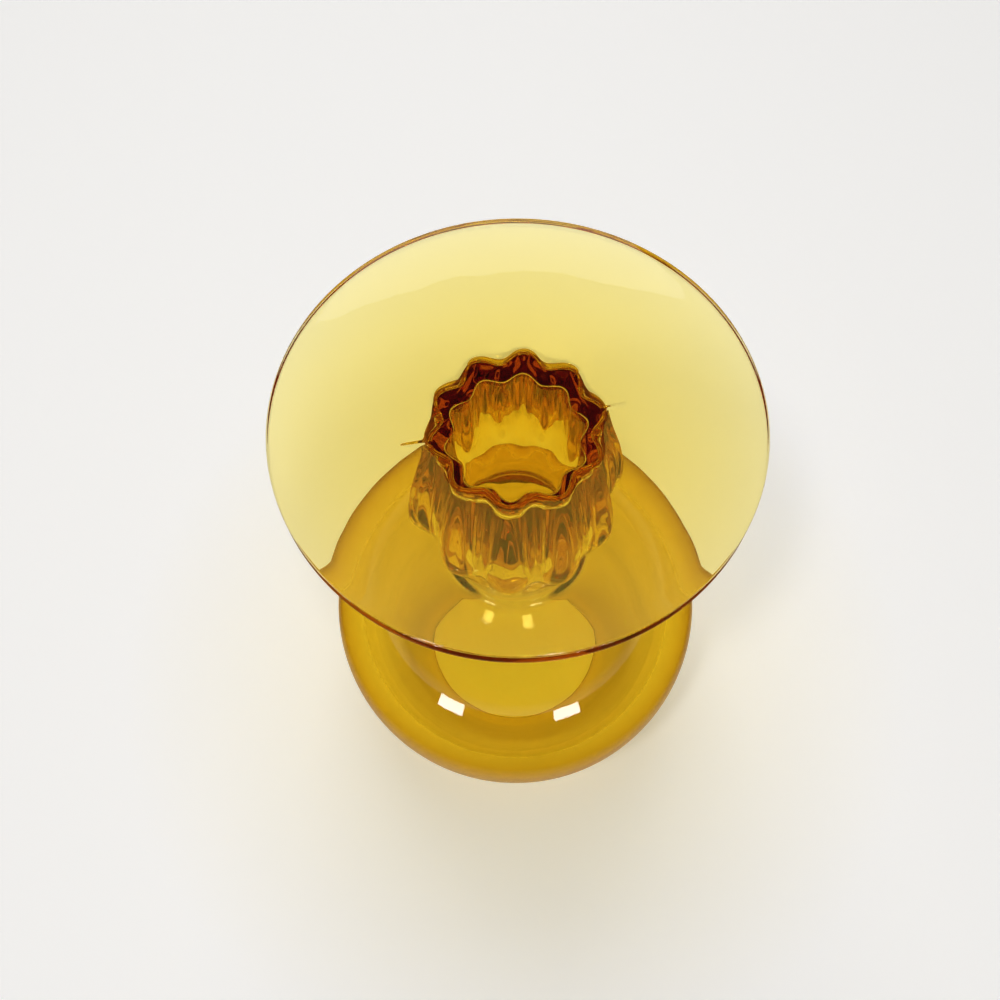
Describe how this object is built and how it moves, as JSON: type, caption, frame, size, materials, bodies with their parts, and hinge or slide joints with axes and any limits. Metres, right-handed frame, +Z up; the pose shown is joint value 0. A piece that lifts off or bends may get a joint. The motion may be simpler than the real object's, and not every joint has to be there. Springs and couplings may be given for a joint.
{
  "type": "footed flower bowl",
  "caption": "Amber glass flower bowl: a disc foot, a hollow fluted stem with a knop and two mould seams, and a ball-shaped bowl that turns in to a rounded lip.",
  "frame": {"origin": "centre of the ring on the foot's underside that touches the table, at table height", "axes": "+Z up along the vessel's axis, from the foot to the mouth; the two mould seams lie on +X and -X"},
  "size_m": [0.1044, 0.1044, 0.152],
  "materials": {
    "foot_glass": "clear amber, fire-polished",
    "stem_glass": "clear amber, fire-polished",
    "bowl_glass": "clear amber, fire-polished"
  },
  "bodies": {
    "root": {"foot": "foot_glass", "stem": "stem_glass", "bowl": "bowl_glass"}
  },
  "joints": []
}
